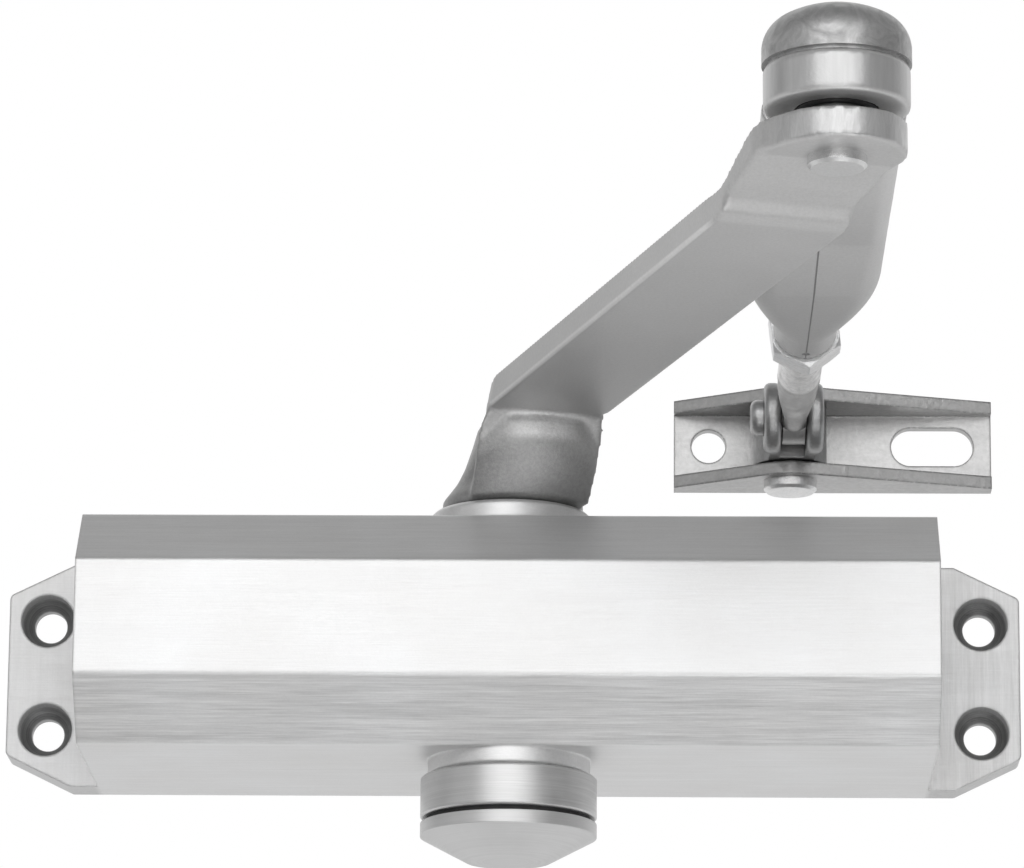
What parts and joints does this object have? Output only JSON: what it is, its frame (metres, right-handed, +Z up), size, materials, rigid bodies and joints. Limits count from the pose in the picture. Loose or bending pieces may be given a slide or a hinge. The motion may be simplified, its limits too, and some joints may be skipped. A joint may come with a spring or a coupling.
{
  "type": "door closer",
  "caption": "Surface-mounted hydraulic door closer: bevelled rack-and-pinion body with a jointed scissor arm that ends in a slotted frame bracket.",
  "frame": {"origin": "centre of the four screw holes on the rear face that lies on the door", "axes": "+X along the body towards the speed valves, +Y into the door, +Z up along the pinion"},
  "size_m": [0.1732, 0.1818, 0.1015],
  "materials": {
    "body_paint": "satin silver paint",
    "arm_paint": "satin silver-grey paint",
    "cap_metal": "satin",
    "zinc_steel": "zinc plated",
    "bare_steel": "machined",
    "spring_steel": "oiled",
    "piston_iron": "machined",
    "bearing_bronze": "sintered",
    "black_rubber": "matt",
    "bush_plastic": "moulded",
    "valve_brass": "machined"
  },
  "bodies": {
    "housing": {"housing": "body_paint", "spring_end_plug": "zinc_steel", "valve_end_plug": "zinc_steel", "plug_seals": "black_rubber", "pinion_bearings": "bearing_bronze", "shaft_seals": "black_rubber", "bearing_nuts": "bare_steel", "spring_seat": "bare_steel", "spindle_collar": "cap_metal", "groove_seal": "black_rubber", "spindle_cap": "cap_metal", "closing_spring": "spring_steel"},
    "closing_valve": {"closing_valve": "valve_brass", "closing_valve_ring": "black_rubber"},
    "latching_valve": {"latching_valve": "valve_brass", "latching_valve_ring": "black_rubber"},
    "piston": {"piston": "piston_iron", "piston_seal": "bush_plastic", "check_retainer": "bare_steel"},
    "check_ball": {"check_ball": "bare_steel"},
    "arm": {"pinion": "bare_steel", "main_arm": "arm_paint", "arm_washer": "zinc_steel", "arm_screw": "zinc_steel", "knuckle_rivet": "zinc_steel", "knuckle_spacer": "bare_steel"},
    "forearm": {"forearm": "arm_paint", "knuckle_bush": "bush_plastic", "knuckle_cap": "arm_paint", "lock_nut": "zinc_steel"},
    "rod": {"adjusting_rod": "zinc_steel"},
    "yoke": {"yoke": "zinc_steel", "yoke_rivet": "zinc_steel"},
    "shoe": {"shoe_bracket": "zinc_steel", "shoe_pin": "zinc_steel"}
  },
  "joints": [
    {"name": "arm_swing", "type": "hinge", "parent": "housing", "child": "arm", "pos_m": [0, -0.0312, 0], "axis": [0, 0, 1], "range_deg": [0, 180], "stiffness_Nm_per_rad": 4, "springref_deg": -34.38},
    {"name": "piston_stroke", "type": "slide", "parent": "housing", "child": "piston", "axis": [1, 0, 0], "range_m": [-0.02476, 0], "deforming": ["closing_spring"]},
    {"name": "check_ball_lift", "type": "slide", "parent": "piston", "child": "check_ball", "axis": [1, 0, 0], "range_m": [0, 0.001]},
    {"name": "elbow", "type": "hinge", "parent": "arm", "child": "forearm", "pos_m": [0.05004, -0.17085, 0.0471], "axis": [0, 0, 1], "range_deg": [-162, 3]},
    {"name": "rod_adjust", "type": "slide", "parent": "forearm", "child": "rod", "axis": [-0.0156, 0.9975, -0.0696], "range_m": [-0.006, 0.01]},
    {"name": "yoke_tilt", "type": "hinge", "parent": "rod", "child": "yoke", "pos_m": [0.04771, -0.0219, 0.0421], "axis": [-0.9999, -0.0156, 0], "range_deg": [-12, 12]},
    {"name": "shoe_swivel", "type": "hinge", "parent": "yoke", "child": "shoe", "pos_m": [0.0475, -0.0085, 0.0421], "axis": [0, 0, 1], "range_deg": [-32, 58]},
    {"name": "closing_valve_turn", "type": "hinge", "parent": "housing", "child": "closing_valve", "pos_m": [0.07, -0.0494, 0.0048], "axis": [1, 0, 0], "range_deg": [-360, 360]},
    {"name": "latching_valve_turn", "type": "hinge", "parent": "housing", "child": "latching_valve", "pos_m": [0.07, -0.0494, -0.0048], "axis": [1, 0, 0], "range_deg": [-360, 360]}
  ],
  "couplings": [
    {"joint": "piston_stroke", "follows": "arm_swing", "m_per_rad": -0.007875}
  ]
}
